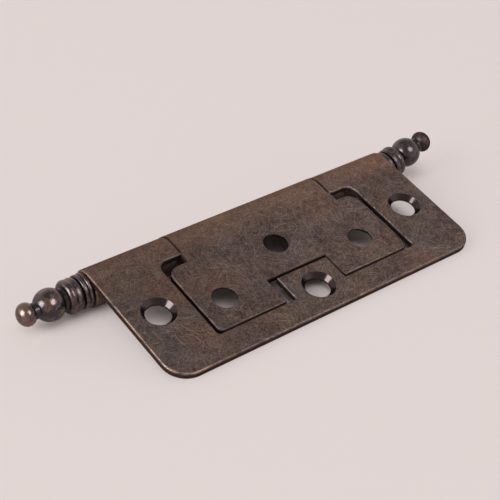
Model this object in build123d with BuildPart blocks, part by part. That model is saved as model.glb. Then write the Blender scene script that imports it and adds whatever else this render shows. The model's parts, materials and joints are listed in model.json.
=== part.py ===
"""A non-mortise hinge: two leaves that nest in one thickness of sheet, a pin and two turned finials.

Frame: millimetres. X runs along the pin, left to right. The closed leaves lie toward -Y, flat and
square to Z, with the countersunk face of the outer leaf upward. The origin is the middle of the pin.
The inner leaf swings up and back about the pin.
"""

from build123d import *

import os
from math import asin, cos, degrees, radians, sin, sqrt

# Sheet and pin
leaf_length = 76.2
leaf_width = 29.5
sheet = 1.35
pin_radius = 2.5
running_clearance = 0.09

# Knuckles: the rolled end of each leaf stops short of the underside of its own sheet
curl_end_lift = 37.0
centre_knuckle_length = 38.2
end_play = 0.36
slid_left = 0.1

# Outer leaf
front_corner_radius = 5.0
cutout_half_width = 24.95
cutout_back = 3.7
cutout_front = 23.98
cutout_back_radius = 2.2
cutout_front_radius = 0.6
tab_half_width = 6.3
tab_back = 17.85
arm_hole_x = 31.5
arm_hole_y = 14.0
tab_hole_y = 23.2

# Inner leaf: it was blanked and struck a little to the left of its knuckle's middle
left_gap = 0.6
right_gap = 1.4
front_gap = 0.23
shoulder_gap = 2.25
shoulder_radius = 2.6
inner_front_radius = 1.2
notch_offset = -0.95
notch_half_width = 7.45
notch_gap = 0.4
side_holes_offset = -1.3
side_holes_spread = 17.3
side_holes_y = 17.2
centre_hole_offset = -0.65
centre_hole_y = 10.3

# Screw holes
hole_radius = 2.6
rim_radius = 3.45
countersink_angle = 82.0

# Sheared edges are rounded on the face in view
edge_round = 0.35

# Finial, from the mouth of the barrel outward: shank, ring, collar, two beads, ball and flattened tip
shank_radius = 1.25
shank_length = 4.0
foot_radius = 2.9
foot_length = 0.2
ring_radius = 3.5
ring_width = 0.75
collar_gap = 0.15
collar_radius = 3.45
collar_width = 0.9
collar_round = 0.32
bead_neck_radius = 2.5
bead_neck_length = 0.45
bead_root_radius = 3.25
inner_bead_radius = 3.4
inner_bead_width = 1.15
outer_bead_radius = 3.45
outer_bead_crown = 0.55
outer_bead_width = 1.6
outer_bead_end_radius = 2.3
ball_neck_radius = 2.1
ball_neck_length = 0.5
ball_radius = 3.25
tip_neck_radius = 1.65
tip_neck_length = 0.85
tip_radius = 2.33
tip_half_width = 1.9
pip_radius = 0.4
pip_length = 0.25

# The finials' heads are bent at the ring: how far, and in which direction from straight up to the back
left_finial_bend = 1.5
left_finial_heading = -70.0
right_finial_bend = 12.0
right_finial_heading = 24.0

# Pin
pin_end_chamfer = 0.2

# Sizes worked out from those above
half_length = leaf_length / 2
outer_bore = pin_radius
outer_roll = outer_bore + sheet
inner_bore = pin_radius + running_clearance
inner_roll = inner_bore + sheet
centre_knuckle_left = -centre_knuckle_length / 2 - slid_left
outer_knuckle_start = (centre_knuckle_length + end_play) / 2
outer_knuckle_length = half_length - outer_knuckle_start
inner_left = left_gap - cutout_half_width
inner_right = cutout_half_width - right_gap
inner_front = cutout_front - front_gap
shoulder_back = cutout_back + shoulder_gap
notch_back = tab_back - notch_gap


def curl(plane, roll, bore):
    """The rolled knuckle's section: from the top of the barrel back, under and up at the front."""
    lift = radians(curl_end_lift)
    with BuildSketch(plane) as section:
        with BuildLine():
            outer = ThreePointArc((0, roll), (0, -roll), (-roll * cos(lift), roll * sin(lift)))
            Line(outer @ 1, (-bore * cos(lift), bore * sin(lift)))
            ThreePointArc((-bore * cos(lift), bore * sin(lift)), (0, -bore), (0, bore))
            Line((0, bore), (0, roll))
        make_face()
    return section.sketch


# Outer leaf: a plate with a U-shaped opening, a tab in its middle and a knuckle at each end
outer_top = Plane.XY.offset(outer_bore)
with BuildPart() as outer_leaf:
    with BuildSketch(outer_top) as outer_outline:
        with Locations((0, -leaf_width / 2)):
            Rectangle(leaf_length, leaf_width)
        fillet(outer_outline.vertices().group_by(Axis.Y)[0], front_corner_radius)
    extrude(amount=sheet)
    with BuildSketch(outer_top) as opening:
        with Locations((0, -(cutout_back + cutout_front) / 2)):
            Rectangle(2 * cutout_half_width, cutout_front - cutout_back)
        fillet(opening.vertices().group_by(Axis.Y)[-1], cutout_back_radius)
        fillet(opening.vertices().group_by(Axis.Y)[0], cutout_front_radius)
        with Locations((0, -(tab_back + leaf_width) / 2)):
            Rectangle(2 * tab_half_width, leaf_width - tab_back, mode=Mode.SUBTRACT)
        with Locations((0, -cutout_back / 2)):
            Rectangle(2 * outer_knuckle_start, cutout_back + 2 * cutout_back_radius)
    extrude(amount=sheet, mode=Mode.SUBTRACT)
    for start in (-half_length, outer_knuckle_start):
        extrude(curl(Plane.YZ.offset(start), outer_roll, outer_bore), amount=outer_knuckle_length)
    outer_edges = outer_leaf.faces().sort_by(Axis.Z)[-1].edges()
    fillet(outer_edges.filter_by_position(Axis.Y, -leaf_width, -cutout_back), edge_round)
    with Locations(
        (-arm_hole_x, -arm_hole_y, outer_roll),
        (arm_hole_x, -arm_hole_y, outer_roll),
        (0, -tab_hole_y, outer_roll),
    ):
        CounterSinkHole(hole_radius, rim_radius, depth=sheet, counter_sink_angle=countersink_angle)
outer_leaf.part.label = "outer_leaf"

# Inner leaf: one long knuckle, square shoulders behind the opening's corners, and a notch for the tab
inner_top = Plane.XY.offset(inner_bore)
with BuildPart() as inner_leaf:
    with BuildSketch(inner_top) as inner_outline:
        with Locations(((inner_left + inner_right) / 2, -(shoulder_back + inner_front) / 2)):
            Rectangle(inner_right - inner_left, inner_front - shoulder_back)
        fillet(inner_outline.vertices().group_by(Axis.Y)[-1], shoulder_radius)
        fillet(inner_outline.vertices().group_by(Axis.Y)[0], inner_front_radius)
        with Locations((-slid_left, -(shoulder_back + shoulder_radius) / 2)):
            Rectangle(centre_knuckle_length, shoulder_back + shoulder_radius)
        with Locations((notch_offset, -(notch_back + leaf_width) / 2)):
            Rectangle(2 * notch_half_width, leaf_width - notch_back, mode=Mode.SUBTRACT)
    extrude(amount=sheet)
    extrude(curl(Plane.YZ.offset(centre_knuckle_left), inner_roll, inner_bore), amount=centre_knuckle_length)
    inner_edges = inner_leaf.faces().sort_by(Axis.Z)[-1].edges()
    fillet(inner_edges.filter_by_position(Axis.Y, -leaf_width, -shoulder_back), edge_round)
    underside = Plane(origin=(0, 0, inner_bore), x_dir=(1, 0, 0), z_dir=(0, 0, -1))
    with Locations(underside):
        with Locations(
            (side_holes_offset - side_holes_spread, side_holes_y),
            (side_holes_offset + side_holes_spread, side_holes_y),
            (centre_hole_offset, centre_hole_y),
        ):
            CounterSinkHole(hole_radius, rim_radius, depth=sheet, counter_sink_angle=countersink_angle)
inner_leaf.part.label = "inner_leaf"

# Pin: plain rod through all three knuckles, drilled at each end for a finial's shank
with BuildPart() as hinge_pin:
    with BuildSketch(Plane.YZ.offset(-half_length)):
        Circle(pin_radius)
    extrude(amount=leaf_length)
    chamfer(hinge_pin.edges().filter_by(GeomType.CIRCLE), pin_end_chamfer)
    for side in (-1, 1):
        with Locations(Plane(origin=(side * half_length, 0, 0), x_dir=(0, 1, 0), z_dir=(side, 0, 0))):
            Hole(shank_radius, depth=shank_length)
hinge_pin.part.label = "hinge_pin"


def finial(side, bend, heading, label):
    """A turned finial at one mouth of the barrel, its head bent at the ring."""
    ring_end = foot_length + ring_width
    turn = radians(heading)
    mouth = Plane(
        origin=(side * half_length, 0, 0),
        x_dir=(side, 0, 0),
        z_dir=(0, -side * cos(turn), side * sin(turn)),
    )
    neck = Plane(mouth.location * Pos(ring_end, 0) * Rot(0, 0, bend))

    # The head's stations are measured from the bend
    collar_end = collar_gap + collar_width
    bead_start = collar_end + bead_neck_length
    bead_middle = bead_start + inner_bead_width
    bead_end = bead_middle + outer_bead_width
    ball_start = bead_end + ball_neck_length
    ball_middle = ball_start + sqrt(ball_radius**2 - ball_neck_radius**2)
    ball_end = ball_middle + sqrt(ball_radius**2 - tip_neck_radius**2)
    tip_start = ball_end + tip_neck_length
    tip_neck_angle = asin(tip_neck_radius / tip_radius)
    pip_angle = asin(pip_radius / tip_radius)
    tip_middle = tip_start + tip_half_width * cos(tip_neck_angle)

    with BuildPart() as piece:
        with BuildSketch(mouth):
            with BuildLine():
                Polyline(
                    (foot_length, foot_radius),
                    (0, foot_radius),
                    (0, shank_radius),
                    (-shank_length, shank_radius),
                    (-shank_length, 0),
                    (ring_end, 0),
                    (ring_end, foot_radius),
                )
                ThreePointArc(
                    (ring_end, foot_radius),
                    (foot_length + ring_width / 2, ring_radius),
                    (foot_length, foot_radius),
                )
            make_face()
        revolve(axis=Axis(mouth.origin, mouth.x_dir))
        with BuildSketch(neck) as head:
            with BuildLine():
                Polyline(
                    (0, 0),
                    (0, foot_radius),
                    (collar_gap, foot_radius),
                    (collar_gap, collar_radius),
                    (collar_end, collar_radius),
                    (collar_end, bead_neck_radius),
                    (bead_start, bead_neck_radius),
                    (bead_start, bead_root_radius),
                )
                ThreePointArc(
                    (bead_start, bead_root_radius),
                    (bead_start + inner_bead_width / 2, inner_bead_radius),
                    (bead_middle, bead_root_radius),
                )
                ThreePointArc(
                    (bead_middle, bead_root_radius),
                    (bead_middle + outer_bead_crown, outer_bead_radius),
                    (bead_end, outer_bead_end_radius),
                )
                Line((bead_end, outer_bead_end_radius), (ball_start, ball_neck_radius))
                ThreePointArc(
                    (ball_start, ball_neck_radius),
                    (ball_middle, ball_radius),
                    (ball_end, tip_neck_radius),
                )
                tip = EllipticalCenterArc(
                    (tip_middle, 0),
                    tip_half_width,
                    tip_radius,
                    start_angle=degrees(pip_angle),
                    arc_size=180 - degrees(pip_angle + tip_neck_angle),
                )
                Line((ball_end, tip_neck_radius), tip @ 1)
                Polyline(tip @ 0, tip @ 0 + (pip_length, -pip_radius), (0, 0))
            make_face()
            fillet(head.vertices().group_by(lambda v: round(v.Y, 3))[-1], collar_round)
        revolve(axis=Axis(neck.origin, neck.x_dir))
        opening_side = Plane(origin=neck.origin, x_dir=mouth.z_dir, z_dir=mouth.x_dir)
        with BuildSketch(opening_side):
            with BuildLine():
                half_turn = CenterArc((0, 0), foot_radius, 0, 180)
                Line(half_turn @ 0, half_turn @ 1)
            make_face()
        revolve(axis=Axis(neck.origin, mouth.z_dir), revolution_arc=bend)
    piece.part.label = label
    return piece


left_finial = finial(-1, left_finial_bend, left_finial_heading, "left_finial")
right_finial = finial(1, right_finial_bend, right_finial_heading, "right_finial")

os.makedirs("parts", exist_ok=True)
export_step(outer_leaf.part, "parts/outer_leaf.step")
export_step(inner_leaf.part, "parts/inner_leaf.step")
export_step(hinge_pin.part, "parts/hinge_pin.step")
export_step(left_finial.part, "parts/left_finial.step")
export_step(right_finial.part, "parts/right_finial.step")
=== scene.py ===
"""The looks of a non-mortise hinge: its antique bronze finishes, the table it lies on, the lamps
and the camera.

Places and lengths are in metres, and inside the finishes in millimetres. Colours are linear. The
closed hinge lies on the table as it does in the photograph, on its barrel and the front edge of the
outer leaf, so the table is a slope in the hinge's own frame.
"""

import json
import math
from functools import reduce

import bpy
import numpy as np
from mathutils import Matrix, Vector


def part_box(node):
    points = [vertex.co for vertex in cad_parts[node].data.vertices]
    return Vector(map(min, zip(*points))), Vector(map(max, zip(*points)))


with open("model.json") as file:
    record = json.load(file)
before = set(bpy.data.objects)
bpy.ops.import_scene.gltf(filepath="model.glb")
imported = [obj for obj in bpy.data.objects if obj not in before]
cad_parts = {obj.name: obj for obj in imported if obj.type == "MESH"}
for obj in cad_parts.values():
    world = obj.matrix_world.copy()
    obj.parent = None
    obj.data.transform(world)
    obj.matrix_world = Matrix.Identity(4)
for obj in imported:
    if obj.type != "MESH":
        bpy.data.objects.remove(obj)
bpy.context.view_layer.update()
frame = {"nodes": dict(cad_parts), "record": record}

MM = 1000.0

# Sizes read from the frame, in millimetres
outer_low, outer_high = [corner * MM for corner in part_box("outer_leaf")]
inner_low, inner_high = [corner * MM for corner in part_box("inner_leaf")]
half_length = outer_high.x
leaf_front = -outer_low.y
leaf_top = outer_high.z
mounts = {mount["name"]: mount for mount in frame["record"]["mounts"]}

# Sizes that the frame doesn't list, in millimetres
sheet = 1.35
rim_radius = 3.48
corner_radius = 5.0
opening_half = 24.95
opening_back = 3.7
opening_front = 23.98
tab_half = 6.3
tab_back = 17.85
notch_middle = -0.95
notch_half = 7.45
notch_back = 17.45
knuckle_half = 19.1
knuckle_shift = 0.1

# The finials: stations along their axis, radii, and how far and which way their heads are bent
bend_from_mouth = 0.95
beads_end = 5.3
beads_fade = 0.4
ring_neck = (6.4, 5.6)
tip_neck = (10.0, 11.0)
tip_start = 11.75
tip_fade = 0.6
tip_neck_fade = 0.5
crown_radii = (2.9, 3.5)
groove_radii = (3.1, 2.5)
left_bend = math.radians(1.5)
left_heading = math.radians(-70.0)
right_bend = math.radians(12.0)
right_heading = math.radians(24.0)

# The leaves' ground, and the patches on it: size, seed, where their noise starts and ends, strength
# and colour
brown_ground = ((0.064, 0.044, 0.042, 1.0), (0.080, 0.056, 0.053, 1.0))
patches = [
    (13.0, 1.0, (0.45, 0.72), 0.50, (0.205, 0.108, 0.072, 1.0)),  # warm
    (11.0, 2.0, (0.45, 0.72), 0.50, (0.098, 0.096, 0.105, 1.0)),  # cool
    (7.0, 3.0, (0.50, 0.74), 0.40, (0.150, 0.126, 0.078, 1.0)),  # olive
]

# What lies over the leaves' ground: strength and colour
barrel_brown = (0.45, (0.240, 0.142, 0.098, 1.0))
end_copper = (0.45, (0.260, 0.120, 0.080, 1.0))
grain_light = (0.54, (0.190, 0.142, 0.114, 1.0))
grain_dark = (0.55, (0.028, 0.023, 0.023, 1.0))
scratch_pale = (0.43, (0.370, 0.285, 0.228, 1.0))
left_dark = (0.20, (0.024, 0.015, 0.014, 1.0))
wall_dark = (0.75, (0.030, 0.019, 0.018, 1.0))
# Copper on the rubbed edges, which on the outer leaf's left arm is also a painted highlight
edge_copper_and_sheen = (0.60, (0.340, 0.215, 0.155, 1.0))
# Painted shade for the gaps between the leaves, laid along the opening, the notch and the seams
painted_gap_shade = (0.014, 0.010, 0.010, 1.0)
cut_bronze = (0.048, 0.038, 0.037, 1.0)

# Scratches on the leaves: angle, length, width, seed, and where their noise starts and ends
short_scratches = [
    (0.62, 4.5, 0.12, 1.0, (0.60, 0.70)),
    (1.05, 3.6, 0.11, 4.0, (0.62, 0.72)),
    (-0.45, 5.0, 0.12, 5.0, (0.62, 0.72)),
    (2.20, 3.2, 0.11, 6.0, (0.62, 0.72)),
    (0.15, 5.5, 0.12, 7.0, (0.62, 0.72)),
    (1.60, 3.4, 0.11, 8.0, (0.62, 0.72)),
]
long_scratches = [
    (0.85, 8.0, 0.11, 30.0, (0.68, 0.76)),
    (1.35, 8.0, 0.11, 31.0, (0.68, 0.76)),
    (-0.30, 8.0, 0.11, 32.0, (0.68, 0.76)),
]
long_strength = 1.5

# The slow wave that the scratches follow: size, swing along the pin, and swing across per swing along
wave_size = 9.0
wave_swing = 7.0
wave_lean = -0.8

# The broken arcs: how far apart their centres are, and their spacing
wide_arcs = (9.0, 0.85)
small_arcs = (6.0, 0.6)
arc_strength = 0.8

# Where the leaves change along the pin, across the unrolled sheet and from front to back
barrel_reach = (-6.0, 0.5)
end_reach = (-5.0, -1.0)
right_end = (22.0, 37.0)
left_part = (12.0, -30.0)
left_arm = (-26.0, -31.0)
left_arm_front = (-2.0, -20.0)
left_arm_least = 0.15
opening_sides = (-6.0, -8.0)
seam_reach = (-4.0, -3.0)
barrel_edge = -leaf_top * 0.5

# Bands along the leaves' edges, from where they start to where they are full, past the edge
outline_band = (-0.55, -0.12)
tab_band = (-0.42, -0.05)
opening_band = (0.35, 0.10)
inner_band = (-0.30, -0.10)
notch_band = (-0.35, -0.10)
seam_band = (-0.40, -0.20)
opening_inset = -0.2

# The sheet's edge walls: how far below the top face they start and are full, and how far above the
# lower face they end. The screw holes' walls reach a little past the lower face
wall_band = (0.21, 0.56)
wall_end = 0.12
hole_margin = 0.1

# How rubbed those bands are, how much painted highlight the left arm's edge takes on top, and how
# much painted shade lies beside the gaps between the leaves
outline_rub = 0.30
left_arm_sheen = 0.50
tab_rub = 0.06
opening_shade = 0.35
inner_shade = 0.25
notch_shade = 0.65
seam_shade = 0.8

# The finials' ground, and what lies over it: strength and colour
finial_ground = ((0.072, 0.048, 0.043, 1.0), (0.130, 0.082, 0.067, 1.0))
finial_stain = (0.9, (0.022, 0.016, 0.025, 1.0))
crown_bronze = (0.2, (0.230, 0.140, 0.105, 1.0))
groove_black = (0.92, (0.012, 0.010, 0.012, 1.0))
# Painted shade that darkens the whole right finial
finial_painted_shade = (0.026, 0.020, 0.028, 1.0)
tip_bronze = (0.170, 0.100, 0.082, 1.0)

# The pin's steel
steel_dark = (0.10, 0.085, 0.075, 1.0)
steel_light = (0.24, 0.22, 0.20, 1.0)

# The photograph's camera
camera_place = (-0.13753, -0.13279, 0.17564)
camera_azimuth = math.radians(-46.71)
camera_elevation = math.radians(43.64)
camera_roll = math.radians(13.26)
camera_lens = 91.05
camera_sensor = 36.0

# The table: its rim fades between two radii. Outside the hinge's footprint and the strip under the
# finials, the camera and reflections see a share of the backdrop's colour in it
backdrop_colour = (0.730, 0.651, 0.638, 1.0)
table_colour = (0.88, 0.795, 0.785, 1.0)
table_radius = 1.2
table_fade = (0.75, 0.35)
footprint_half = (half_length / MM, 0.0165)
footprint_middle = -0.013
footprint_fade = (-0.0055, -0.0015)
strip_half = (0.050, 0.0025)
strip_fade = (-0.002, 0.004)
table_backdrop_share = 0.65
table_backdrop_strength = 0.945

# The glow of the studio: low above, brighter towards the floor and darker on the camera's side
glow_colour = (1.0, 0.955, 0.94, 1.0)
glow_above = 0.36
glow_round = 1.45
glow_heights = (0.85, 0.10)
upward = (0.0, 0.218, 0.976)
dark_side = (-0.40, -0.55, 0.73)
dark_side_reach = (0.45, 0.95)
dark_side_depth = 0.80
reflected_backdrop_share = 0.5

# The lamps: direction, distance, width, height, radiance, colour, and whether it is a glint, which is
# seen in reflections only, or a light, which isn't seen in them
window = (-0.90, 0.15, 0.38)
cool_white = (0.97, 0.98, 1.0)
warm_white = (1.0, 0.97, 0.95)
lamps = {
    "window": (window, 2.0, 1.50, 1.60, 4.0, warm_white, False),
    "window glint": (window, 1.9, 1.20, 1.30, 13.0, cool_white, True),
    "ceiling glint": ((0.17, -0.49, 0.855), 2.0, 1.25, 1.25, 7.5, cool_white, True),
    "ceiling wash": ((-0.15, -0.05, 0.98), 2.0, 1.7, 1.7, 1.45, warm_white, False),
}


class Wire:
    """A number or colour that varies over a surface. Arithmetic on wires adds Math nodes."""

    def __init__(self, finish, socket):
        self.finish = finish
        self.socket = socket

    def math(self, operation, *values):
        inputs = dict(enumerate((self, *values)))
        return self.finish.node("ShaderNodeMath", {"operation": operation}, inputs)

    def __add__(self, other):
        return self.math("ADD", other)

    __radd__ = __add__

    def __sub__(self, other):
        return self.math("SUBTRACT", other)

    def __rsub__(self, other):
        return self * -1.0 + other

    def __mul__(self, other):
        return self.math("MULTIPLY", other)

    __rmul__ = __mul__

    def __abs__(self):
        return self.math("ABSOLUTE")

    def __lt__(self, other):
        return self.math("LESS_THAN", other)

    def __gt__(self, other):
        return self.math("GREATER_THAN", other)

    def larger(self, other):
        return self.math("MAXIMUM", other)

    def smaller(self, other):
        return self.math("MINIMUM", other)

    def sine(self):
        return self.math("SINE")

    def hypotenuse(self, other):
        return (self * self + other * other).math("SQRT")

    def ramp(self, start, end):
        """0 at start and 1 at end, with soft ends. It falls where end is below start."""
        return self.finish.node(
            "ShaderNodeMapRange",
            {"interpolation_type": "SMOOTHSTEP"},
            {"Value": self, "From Min": start, "From Max": end},
        )


class Finish:
    """A material or a world, the nodes that paint it and its shader."""

    def __init__(self, owner):
        owner.use_nodes = True
        self.owner = owner
        self.tree = owner.node_tree
        self.tree.nodes.clear()

    def node(self, kind, settings=None, values=None, output=0):
        """Adds a node: its settings first, then the values or links of its sockets."""
        made = self.tree.nodes.new(kind)
        for name, setting in (settings or {}).items():
            setattr(made, name, setting)
        for key, value in (values or {}).items():
            if isinstance(value, Wire):
                self.tree.links.new(value.socket, made.inputs[key])
            else:
                made.inputs[key].default_value = value
        return Wire(self, made.outputs[output]) if made.outputs else None

    def point(self):
        """The point on the piece, in metres."""
        return self.node("ShaderNodeTexCoord", output="Object")

    def place(self):
        """The point on the piece, in millimetres."""
        return self.node(
            "ShaderNodeVectorMath", {"operation": "SCALE"}, {"Vector": self.point(), "Scale": MM}
        )

    def parts(self, vector):
        return [
            self.node("ShaderNodeSeparateXYZ", values={"Vector": vector}, output=axis)
            for axis in ("X", "Y", "Z")
        ]

    def vector(self, x, y, z):
        return self.node("ShaderNodeCombineXYZ", values={"X": x, "Y": y, "Z": z})

    def shifted(self, vector, shift):
        return self.node("ShaderNodeVectorMath", {"operation": "ADD"}, {0: vector, 1: shift})

    def along(self, vector, direction):
        """How far a vector reaches along a direction."""
        return self.node(
            "ShaderNodeVectorMath",
            {"operation": "DOT_PRODUCT"},
            {0: vector, 1: direction},
            output="Value",
        )

    def ray(self, kind):
        """Whether light is being followed from the camera, a reflection or a transmission."""
        return self.node("ShaderNodeLightPath", output=f"Is {kind} Ray")

    def noise(self, vector, size, seed=0.0, detail=2.0, roughness=0.5):
        """Soft noise from 0 to 1 with features about size millimetres across."""
        return self.node(
            "ShaderNodeTexNoise",
            {},
            {
                "Vector": self.shifted(vector, (seed * 17.3, seed * -11.9, seed * 7.1)),
                "Scale": 1.0 / size,
                "Detail": detail,
                "Roughness": roughness,
            },
        )

    def streaks(self, vector, angle, length, width, seed, start, end):
        """Fine scratches that run at an angle: noise drawn out to length and squeezed to width."""
        turned = self.node(
            "ShaderNodeMapping",
            {"vector_type": "TEXTURE"},
            {
                "Vector": vector,
                "Location": (seed * 5.7, seed * 3.1, 0.0),
                "Rotation": (0.0, 0.0, angle),
                "Scale": (length, width, 1.0),
            },
        )
        drawn = self.node(
            "ShaderNodeTexNoise", {}, {"Vector": turned, "Scale": 1.0, "Detail": 1.0}
        )
        return drawn.ramp(start, end)

    def arcs(self, vector, spread, spacing, seed):
        """Broken rings about scattered centres, as a tumbled finish has: the sine of the distance
        to the nearest centre, kept at its crests and broken by noise."""
        distance = self.node(
            "ShaderNodeTexVoronoi",
            {"voronoi_dimensions": "2D"},
            {
                "Vector": self.shifted(vector, (seed * 9.1, seed * 4.7, 0.0)),
                "Scale": 1.0 / spread,
            },
        )
        rings = (distance * (spread / spacing * 2.0 * math.pi)).sine().ramp(0.86, 1.0)
        return rings * self.noise(vector, 2.6, seed + 3.0).ramp(0.54, 0.66)

    def blend(self, factor, first, second):
        """From the first colour to the second as the factor goes from 0 to 1."""
        colour_inputs = {0: factor, 6: first, 7: second}
        return self.node("ShaderNodeMix", {"data_type": "RGBA"}, colour_inputs, output=2)

    def lay(self, colour, mask, layer):
        """A layer's colour over another, as far as the mask and the layer's strength go."""
        strength, tone = layer
        return self.blend(mask * strength, colour, tone)

    def bump(self, height, depth):
        """A normal from a height from 0 to 1 that stands for depth millimetres."""
        return self.node(
            "ShaderNodeBump", {}, {"Height": height, "Strength": 1.0, "Distance": depth / MM}
        )

    def mixed(self, factor, first, second):
        """From the first shader to the second as the factor goes from 0 to 1."""
        return self.node("ShaderNodeMixShader", {}, {0: factor, 1: first, 2: second})

    def surface(self, **values):
        """The shader, given by its sockets' names with spaces written as underscores."""
        sockets = {name.replace("_", " "): value for name, value in values.items()}
        self.end(self.node("ShaderNodeBsdfPrincipled", {}, sockets))

    def end(self, shader, kind="ShaderNodeOutputMaterial"):
        self.node(kind, {}, {"Surface": shader})


def dress(node, finish):
    """Gives a CAD node its finish."""
    slots = frame["nodes"][node].data.materials
    slots.clear()
    slots.append(finish.owner)


def unrolled(finish, point):
    """The sheet laid flat: along the pin, and across it round the barrel and over the plate's edges.
    Across is 0 at the top of the barrel, y on the plate, and angle times radius round the barrel."""
    x, y, z = finish.parts(point)
    on_plate = (y < 0.0) * (z > 0.0)
    angle = y.math("ARCTAN2", z) + (y < 0.0) * (z < 0.0) * (2.0 * math.pi)
    drop = (leaf_top - z) * on_plate
    across = angle * leaf_top * (1.0 - on_plate) + y * on_plate - drop
    return finish.vector(x + drop, across, 0.0), x, y, z, across


def scratches(finish, flat, seed):
    """How marked a place is: short crossed scratches that fade in and out, a few long ones, and arcs.
    All of them follow a slow wave, so that none is quite straight."""
    wave = (finish.noise(flat, wave_size, seed + 20.0, 0.0) - 0.5) * wave_swing
    curved = finish.shifted(flat, finish.vector(wave, wave * wave_lean, 0.0))

    def drawn(scratch):
        angle, length, width, shift, (start, end) = scratch
        return finish.streaks(curved, angle, length, width, seed + shift, start, end)

    lines = reduce(Wire.larger, [drawn(scratch) for scratch in short_scratches])
    lines = lines * finish.noise(flat, 1.6, seed + 9.0).ramp(0.34, 0.56)
    for scratch in long_scratches:
        lines = lines.larger(drawn(scratch) * long_strength)
    arcs = finish.arcs(curved, *wide_arcs, seed).larger(finish.arcs(curved, *small_arcs, seed + 5.0))
    return lines.larger(arcs * arc_strength)


def leaf_finish(name, seed, edge, cut):
    """Antique bronze on stamped sheet: mottled brown with warm, cool and olive patches, crossed by
    fine pale scratches and arcs. edge says how rubbed a place on an edge is, with a painted highlight
    added on the outer leaf's left arm, and how much painted shade lies on it beside the gaps between
    the leaves; cut says where a screw hole's wall is."""
    finish = Finish(bpy.data.materials.new(name))
    flat, x, y, z, across = unrolled(finish, finish.place())

    mottle = finish.noise(flat, 4.2, seed, 5.0, 0.72)
    colour = finish.blend(mottle.ramp(0.26, 0.72), *brown_ground)
    for size, shift, (start, end), strength, tone in patches:
        patch = finish.noise(flat, size, seed + shift, 3.0).ramp(start, end)
        colour = finish.lay(colour, patch, (strength, tone))
    colour = finish.lay(colour, across.ramp(*barrel_reach), barrel_brown)
    colour = finish.lay(colour, across.ramp(*end_reach) * x.ramp(*right_end), end_copper)

    marks = scratches(finish, flat, seed)
    grain = finish.noise(flat, 0.36, seed + 12.0, 3.0, 0.65)
    colour = finish.lay(colour, grain.ramp(0.46, 0.66), grain_light)
    colour = finish.lay(colour, grain.ramp(0.52, 0.34), grain_dark)
    colour = finish.lay(colour, marks, scratch_pale)
    colour = finish.lay(colour, x.ramp(*left_part), left_dark)

    wall = z.ramp(leaf_top - wall_band[0], leaf_top - wall_band[1])
    wall = wall * (across < barrel_edge) * (z > leaf_top - sheet + wall_end)
    colour = finish.lay(colour, wall, wall_dark)
    rubbed, shaded = edge(x, y)
    # Painted shade beside the gaps between the leaves
    colour = finish.blend(shaded, colour, painted_gap_shade)
    # Copper on worn edges, with a painted highlight on the outer leaf's left arm
    worn_and_sheen = rubbed * finish.noise(flat, 1.6, seed + 15.0, 3.0).ramp(0.36, 0.62)
    colour = finish.lay(colour, worn_and_sheen * (1.0 - wall), edge_copper_and_sheen)
    bare = cut(x, y, z)
    colour = finish.blend(bare, colour, cut_bronze)

    rough = (0.46 + grain * 0.18 - marks * 0.12) * (1.0 - bare) + bare * 0.15
    height = (grain * 0.5 + mottle * 0.6 - marks * 0.8) * (1.0 - bare)
    finish.surface(
        Base_Color=colour,
        Metallic=0.85,
        Specular_Tint=(0.25, 0.20, 0.18, 1.0),
        Roughness=rough - worn_and_sheen * 0.14,
        Normal=finish.bump(height, 0.014),
    )
    return finish


def hole_wall(centres, top):
    """Where the walls of the screw holes are: within the rim of a hole, and from the sheet's lower
    face up to top."""

    def mask(x, y, z):
        near = [(x - along).hypotenuse(y - across) < rim_radius for along, across in centres]
        return reduce(Wire.larger, near) * (z > leaf_top - sheet - hole_margin) * (z < top)

    return mask


def outer_edge(x, y):
    """How rubbed the outer leaf is, on its outline and on the tab, most of all on its left arm, where
    the extra is a painted highlight, and how much painted shade lies along its opening, beside the
    gap to the inner leaf. Each band is a distance past the edge that it follows."""
    side = (abs(x) - (half_length - corner_radius)).larger(0.0)
    front = (y * -1.0 - (leaf_front - corner_radius)).larger(0.0)
    outline = (side.hypotenuse(front) - corner_radius).ramp(*outline_band)
    opening = (abs(x) - opening_half).larger(y * -1.0 - opening_front).larger(y + opening_back)
    tab = (abs(x) - tab_half).larger(y + tab_back)
    tab_edge = tab.ramp(*tab_band) * (tab < 0.0)
    fore = left_arm_least + (1.0 - left_arm_least) * y.ramp(*left_arm_front)
    left = x.ramp(*left_arm) * fore
    # The left arm's extra copper is a painted highlight
    rubbed = (outline * (outline_rub + left_arm_sheen * left)).larger(tab_edge * tab_rub)
    # Painted shade along the opening, beside the gap to the inner leaf
    inside = opening.larger(tab * -1.0).ramp(*opening_band) * (opening > opening_inset)
    return rubbed, inside * y.ramp(*opening_sides) * opening_shade


def inner_edge(x, y):
    """The inner leaf isn't rubbed. Where painted shade lies on it: along its outline and round its
    notch, beside the gaps to the outer leaf, and at the seams beside its knuckle. Each band is a
    distance past the edge that it follows."""
    outline = (x - inner_high.x).larger(inner_low.x - x).larger(y * -1.0 + inner_low.y)
    notch = (abs(x - notch_middle) - notch_half).larger(y + notch_back)
    seam = (abs(x + knuckle_shift) - knuckle_half).ramp(*seam_band) * y.ramp(*seam_reach)
    # Painted shade round the notch, along the outline and in the seams beside the knuckle
    notch_edge = (notch * -1.0).ramp(*notch_band) * notch_shade
    shaded = (outline.ramp(*inner_band) * inner_shade).larger(notch_edge).larger(seam * seam_shade)
    return 0.0, shaded


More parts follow.
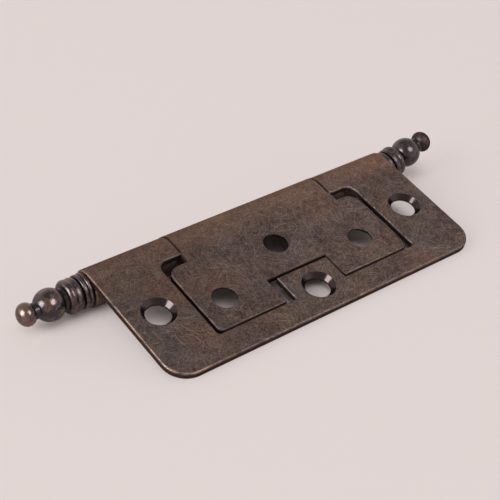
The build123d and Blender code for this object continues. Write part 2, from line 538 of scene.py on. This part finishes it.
def finial_finish(name, side, bend, heading, tip_copper, shade_and_dullness, seed):
    """Dark glossy bronze on a turned ornament: black in the grooves, rubbed brown on the crowns,
    copper or dull black at the tip. Stations are taken along its own axis, which leaves the
    barrel's by bend, towards heading. A finial can take painted shade all over, which also dulls its
    tip."""
    finish = Finish(bpy.data.materials.new(name))
    point = finish.place()
    x, y, z = finish.parts(point)
    out = (x * side) - half_length - bend_from_mouth
    rise = y * math.sin(heading) + z * math.cos(heading)
    beside = y * math.cos(heading) - z * math.sin(heading)
    station = out * math.cos(bend) + rise * math.sin(bend) + bend_from_mouth
    lift = rise * math.cos(bend) - out * math.sin(bend)
    radius = lift.hypotenuse(beside)
    beads = station.ramp(beads_end + beads_fade, beads_end)
    tip = station.ramp(tip_start - tip_fade, tip_start + tip_fade)
    neck = station.ramp(*ring_neck).larger(
        station.ramp(*tip_neck) * station.ramp(tip_start + tip_neck_fade, tip_start)
    )

    cloud = finish.noise(point, 2.2, seed, 4.0, 0.6)
    speck = finish.noise(point, 0.55, seed + 2.0, 3.0, 0.6)
    stain = finish.noise(point, 1.5, seed + 4.0, 3.0, 0.6)
    pits = finish.noise(point, 0.9, seed + 5.0, 2.0, 0.5)
    colour = finish.blend(cloud.ramp(0.40, 0.60), *finial_ground)
    colour = finish.lay(colour, stain.ramp(0.46, 0.56), finial_stain)
    # Painted shade over the whole finial
    colour = finish.blend(shade_and_dullness, colour, finial_painted_shade)
    crown = radius.ramp(*crown_radii) * beads
    colour = finish.lay(colour, crown * speck.ramp(0.40, 0.62), crown_bronze)
    colour = finish.blend(tip * tip_copper * cloud.ramp(0.30, 0.60), colour, tip_bronze)
    colour = finish.lay(colour, radius.ramp(*groove_radii) * neck, groove_black)
    dull = tip * shade_and_dullness if shade_and_dullness else 0.0
    finish.surface(
        Base_Color=colour,
        Metallic=0.75,
        Roughness=0.18 + cloud * 0.08 + speck * 0.10 + beads * 0.08 + dull * 0.35,
        Specular_Tint=(0.30, 0.25, 0.25, 1.0),
        Coat_Weight=0.60 - dull,
        Coat_Roughness=0.18,
        Normal=finish.bump(pits * 0.7 + speck * 0.3, 0.050),
    )
    return finish


def pin_finish():
    """Plain drawn steel, dulled by old grease: noise drawn out along the pin."""
    finish = Finish(bpy.data.materials.new("pin steel"))
    x, y, z = finish.parts(finish.place())
    drawn = finish.noise(finish.vector(x * 0.05, y * 3.0, z * 3.0), 1.0, 3.0, 3.0)
    finish.surface(
        Base_Color=finish.blend(drawn, steel_dark, steel_light),
        Metallic=0.9,
        Roughness=0.35 + drawn * 0.2,
    )
    return finish


def screw_places(names):
    """The centres of the screw holes that these mounts name, in millimetres."""
    centres = []
    for name in names:
        mount = mounts[name]
        middle = mount["pos_m"]
        spread = mount["dims"].get("spacing_x_mm", 0.0) / 2.0
        for offset in sorted({-spread, spread}):
            centres.append((middle[0] * MM + offset, middle[1] * MM))
    return centres


def table_slope():
    """How far the table tips about X: from the level line to the line that touches the barrel and
    the bottom corner of the outer leaf's front edge."""
    seat = leaf_top - sheet
    reach = math.hypot(leaf_front, seat)
    return math.atan2(seat, leaf_front) + math.asin(-inner_low.z / reach)


def table_mesh(rings=24, spokes=96):
    """A flat round sheet: points at radius times (cos turn, sin turn, 0), and one in the middle."""
    radius = np.linspace(0.0, table_radius, rings + 1)[1:]
    turn = np.linspace(0.0, 2.0 * math.pi, spokes, endpoint=False)
    radius, turn = np.meshgrid(radius, turn, indexing="ij")
    points = np.stack([radius * np.cos(turn), radius * np.sin(turn), 0.0 * radius], axis=-1)
    points = np.vstack([[[0.0, 0.0, 0.0]], points.reshape(-1, 3)])
    ring, spoke = np.meshgrid(np.arange(rings - 1), np.arange(spokes), indexing="ij")
    here = 1 + ring * spokes + spoke
    beside = 1 + ring * spokes + (spoke + 1) % spokes
    quads = np.stack([here, here + spokes, beside + spokes, beside], axis=-1).reshape(-1, 4)
    spoke = np.arange(spokes)
    fan = np.stack([0 * spoke, 1 + spoke, 1 + (spoke + 1) % spokes], axis=-1)
    mesh = bpy.data.meshes.new("table")
    mesh.from_pydata(points.tolist(), [], fan.tolist() + quads.tolist())
    return mesh


def table_finish():
    """Plain pale paint that thins out to nothing at the table's rim and from below. The camera and
    reflections see a share of the backdrop's own colour in it, away from the hinge."""
    finish = Finish(bpy.data.materials.new("table"))
    point = finish.point()
    away = finish.node("ShaderNodeVectorMath", {"operation": "LENGTH"}, {0: point}, output="Value")
    below = finish.node("ShaderNodeNewGeometry", output="Backfacing")
    seen = away.ramp(*table_fade) * (1.0 - below)
    x, y, z = finish.parts(point)
    footprint = (abs(x) - footprint_half[0]).larger(abs(y - footprint_middle) - footprint_half[1])
    strip = (abs(x) - strip_half[0]).larger(abs(y) - strip_half[1])
    around = footprint.ramp(*footprint_fade).smaller(strip.ramp(*strip_fade))
    looked_at = finish.ray("Camera").larger(finish.ray("Glossy")).larger(finish.ray("Transmission"))
    lit = finish.node("ShaderNodeBsdfDiffuse", {}, {"Color": table_colour})
    plain = finish.node(
        "ShaderNodeEmission", {}, {"Color": backdrop_colour, "Strength": table_backdrop_strength}
    )
    top = finish.mixed(looked_at * table_backdrop_share * around, lit, plain)
    finish.end(finish.mixed(seen, finish.node("ShaderNodeBsdfTransparent"), top))
    return finish


def make_table():
    """A round pale table top that touches the barrel and the outer leaf's front edge."""
    slope = table_slope()
    mesh = table_mesh()
    mesh.materials.append(table_finish().owner)
    table = bpy.data.objects.new("table", mesh)
    bpy.context.scene.collection.objects.link(table)
    normal = Vector((0.0, math.sin(slope), math.cos(slope)))
    lowered = Matrix.Translation(normal * (inner_low.z / MM))
    table.matrix_world = lowered @ Matrix.Rotation(-slope, 4, "X")


def light_world():
    """Pale surroundings: the backdrop's own colour to the camera, and a soft glow to the hinge,
    which is darker on the camera's side of the room. Reflections see half of each."""
    world = bpy.data.worlds.new("studio")
    bpy.context.scene.world = world
    sky = Finish(world)
    way = sky.node("ShaderNodeTexCoord", output="Generated")
    low = sky.along(way, upward).ramp(*glow_heights)
    dark = sky.along(way, dark_side).ramp(*dark_side_reach)
    strength = (glow_above + low * glow_round) * (1.0 - dark * dark_side_depth)
    glow = sky.node("ShaderNodeBackground", {}, {"Color": glow_colour, "Strength": strength})
    backdrop = sky.node("ShaderNodeBackground", {}, {"Color": backdrop_colour, "Strength": 1.0})
    shown = sky.ray("Camera").larger(sky.ray("Transmission"))
    shown = shown.larger(sky.ray("Glossy") * reflected_backdrop_share)
    sky.end(sky.mixed(shown, glow, backdrop), "ShaderNodeOutputWorld")


def add_lamp(name, towards, distance, width, height, radiance, colour, glint):
    """An oval softbox that faces the hinge from a direction. Its power gives its face the wanted
    radiance: pi times the radiance times the oval's area."""
    data = bpy.data.lights.new(name, "AREA")
    data.shape = "ELLIPSE"
    data.size = width
    data.size_y = height
    data.energy = math.pi * radiance * math.pi / 4.0 * width * height
    data.color = colour
    lamp = bpy.data.objects.new(name, data)
    bpy.context.scene.collection.objects.link(lamp)
    way = Vector(towards).normalized()
    lamp.location = way * distance
    lamp.rotation_mode = "QUATERNION"
    lamp.rotation_quaternion = way.to_track_quat("Z", "Y")
    lamp.visible_diffuse = not glint
    lamp.visible_glossy = glint


def place_camera():
    """The photograph's camera: turned to its azimuth, tipped down by its elevation and rolled."""
    data = bpy.data.cameras.new("camera")
    data.lens = camera_lens
    data.sensor_width = camera_sensor
    data.clip_start = 0.01
    data.clip_end = 20.0
    camera = bpy.data.objects.new("camera", data)
    bpy.context.scene.collection.objects.link(camera)
    camera.matrix_world = (
        Matrix.Translation(camera_place)
        @ Matrix.Rotation(camera_azimuth, 4, "Z")
        @ Matrix.Rotation(math.pi / 2.0 - camera_elevation, 4, "X")
        @ Matrix.Rotation(camera_roll, 4, "Z")
    )
    bpy.context.scene.camera = camera


# The outer leaf's countersinks open on its upper face, so their walls reach up past it. The inner
# leaf's open below, so its walls end just under the upper face.
outer_holes = hole_wall(screw_places(["outer_screws", "tab_screw"]), leaf_top + 1.0)
inner_holes = hole_wall(screw_places(["inner_screws", "centre_screw"]), inner_high.z - 0.06)
dress("outer_leaf", leaf_finish("outer leaf bronze", 1.0, outer_edge, outer_holes))
dress("inner_leaf", leaf_finish("inner leaf bronze", 4.0, inner_edge, inner_holes))
dress("hinge_pin", pin_finish())
left_bronze = finial_finish(
    "left finial bronze",
    side=-1.0, bend=left_bend, heading=left_heading, tip_copper=0.8, shade_and_dullness=0.0, seed=2.0,
)
# The right finial takes painted shade all over and a duller tip
right_bronze = finial_finish(
    "right finial bronze",
    side=1.0, bend=right_bend, heading=right_heading, tip_copper=0.15, shade_and_dullness=0.6, seed=6.0,
)
dress("left_finial", left_bronze)
dress("right_finial", right_bronze)

make_table()
light_world()
for name, lamp in lamps.items():
    add_lamp(name, *lamp)
place_camera()

bpy.context.scene.view_settings.view_transform = "Standard"
